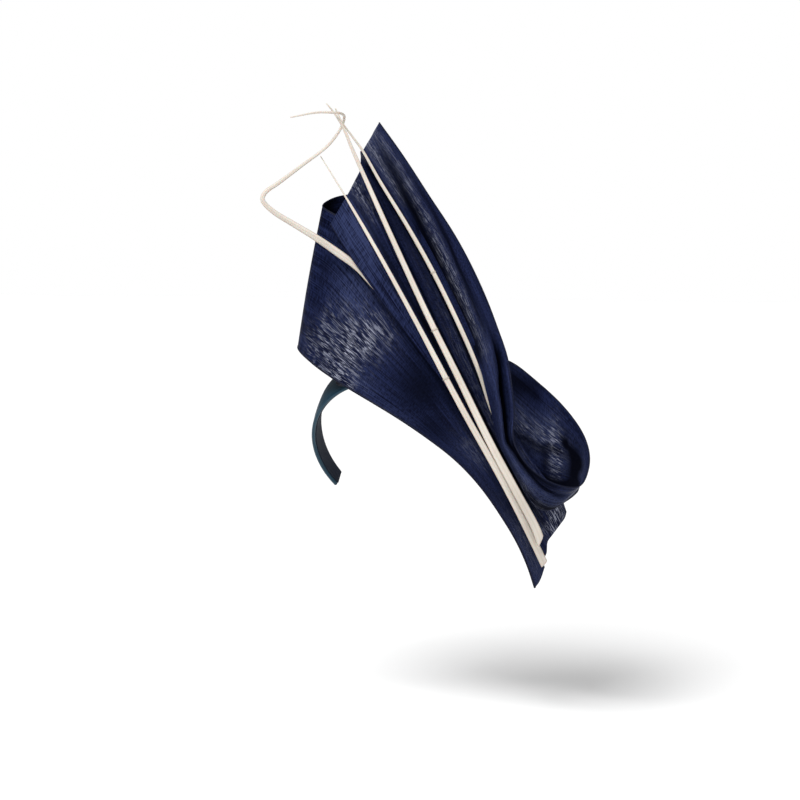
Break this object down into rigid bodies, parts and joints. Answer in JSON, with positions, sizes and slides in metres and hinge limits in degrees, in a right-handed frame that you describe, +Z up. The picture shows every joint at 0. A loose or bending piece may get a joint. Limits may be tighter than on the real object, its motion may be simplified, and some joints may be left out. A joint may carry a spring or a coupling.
{
  "type": "fascinator headpiece",
  "caption": "Sculptural fascinator of wrapped, pleated and looped navy abaca cloth with long cream quills on a covered headband.",
  "frame": {"origin": "middle of the headband's inner face at its crown, where it rests on the head", "axes": "+Z up as worn, -Y the way the wearer faces, +X the wearer's left"},
  "size_m": [0.2597, 0.1336, 0.3958],
  "materials": {
    "abaca_cloth": "silky woven straw cloth with streaky sheen",
    "edge_hem": "tight rolled hem",
    "band_satin": "satin",
    "band_lining": "matt ribbed ribbon",
    "band_core": "moulded",
    "base_buckram": "stiffened open weave",
    "quill": "stripped feather shaft, smooth and faintly grooved",
    "thread": "twisted sewing thread"
  },
  "bodies": {
    "root": {"headband_lining": "band_lining", "headband_core": "band_core", "headband_cover": "band_satin", "base_pad": "base_buckram", "base_cover": "abaca_cloth", "front_wrap": "abaca_cloth", "front_wrap_lower_hem": "edge_hem", "front_wrap_upper_hem": "edge_hem", "pleated_fan": "abaca_cloth", "sweep_loop": "abaca_cloth", "sweep_loop_outer_hem": "edge_hem", "quill_long_left": "quill", "quill_long_centre": "quill", "quill_long_right": "quill", "quill_bent": "quill", "quill_tack_left": "thread", "quill_tack_centre": "thread", "quill_tack_right": "thread", "quill_tack_bent": "thread"}
  },
  "joints": []
}
